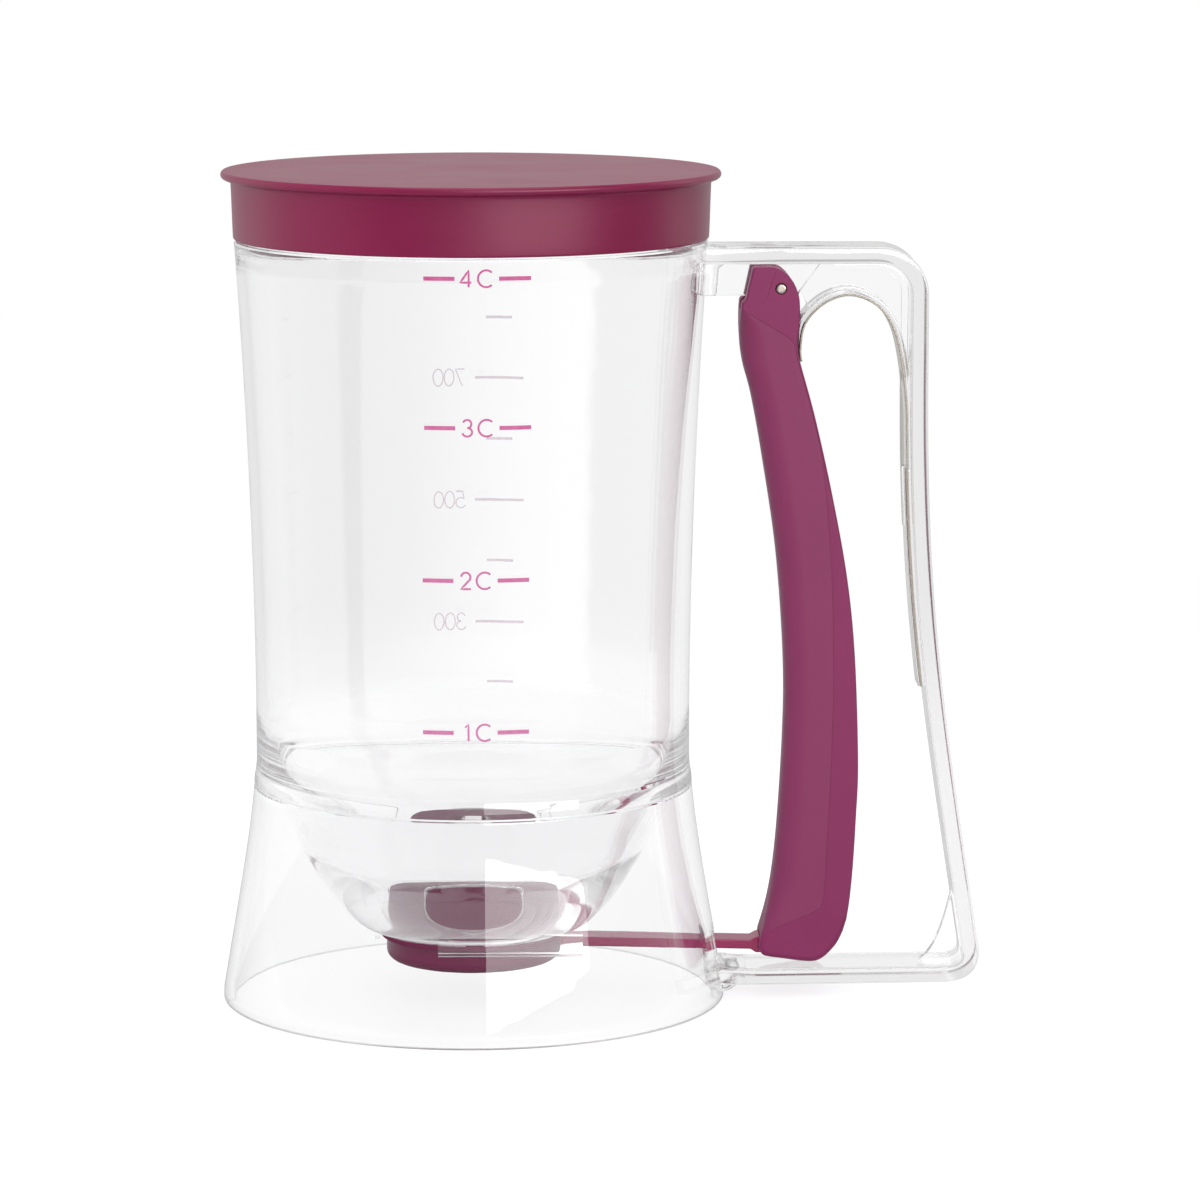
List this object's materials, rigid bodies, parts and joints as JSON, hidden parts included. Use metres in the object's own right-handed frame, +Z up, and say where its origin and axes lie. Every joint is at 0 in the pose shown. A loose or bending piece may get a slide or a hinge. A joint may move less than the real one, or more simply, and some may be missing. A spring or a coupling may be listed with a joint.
{
  "type": "batter dispenser",
  "caption": "Clear flared pitcher with a funnel bottom, a push-on lid, and a trigger in its handle that slides a round valve off the outlet.",
  "frame": {"origin": "on the pitcher's axis, on the surface that the stand rests on", "axes": "+Z up along the pitcher's axis; +X from the axis to the handle; -Y is the side with the cup scale"},
  "size_m": [0.1708, 0.1134, 0.1868],
  "materials": {
    "clear_plastic": "polished, clear",
    "spring_steel": "polished strip, sheared edges",
    "lid_plastic": "satin moulded",
    "trigger_plastic": "satin moulded",
    "grip_plastic": "soft matte",
    "pin_steel": "turned",
    "valve_plastic": "satin moulded",
    "seal_rubber": "soft matte"
  },
  "bodies": {
    "pitcher": {"container": "clear_plastic", "base_skirt": "clear_plastic", "valve_guide": "clear_plastic", "handle": "clear_plastic", "return_spring": "spring_steel"},
    "lid": {"lid": "lid_plastic"},
    "trigger": {"trigger_lever": "trigger_plastic", "trigger_grip": "grip_plastic", "pivot_pin": "pin_steel"},
    "valve": {"valve_cap": "valve_plastic", "valve_seal": "seal_rubber", "valve_arm": "valve_plastic"}
  },
  "joints": [
    {"name": "trigger_squeeze", "type": "hinge", "parent": "pitcher", "child": "trigger", "pos_m": [0.0686, 0, 0.1606], "axis": [0, -1, 0], "range_deg": [0, 7.5], "stiffness_Nm_per_rad": 2.5, "springref_deg": -6.88, "deforming": ["return_spring"]},
    {"name": "valve_slide", "type": "slide", "parent": "pitcher", "child": "valve", "axis": [1, 0, 0], "range_m": [0, 0.0194]},
    {"name": "lid_lift", "type": "slide", "parent": "pitcher", "child": "lid", "axis": [0, 0, 1], "range_m": [0, 0.06]}
  ],
  "couplings": [
    {"joint": "valve_slide", "follows": "trigger_squeeze", "m_per_rad": 0.14787}
  ]
}
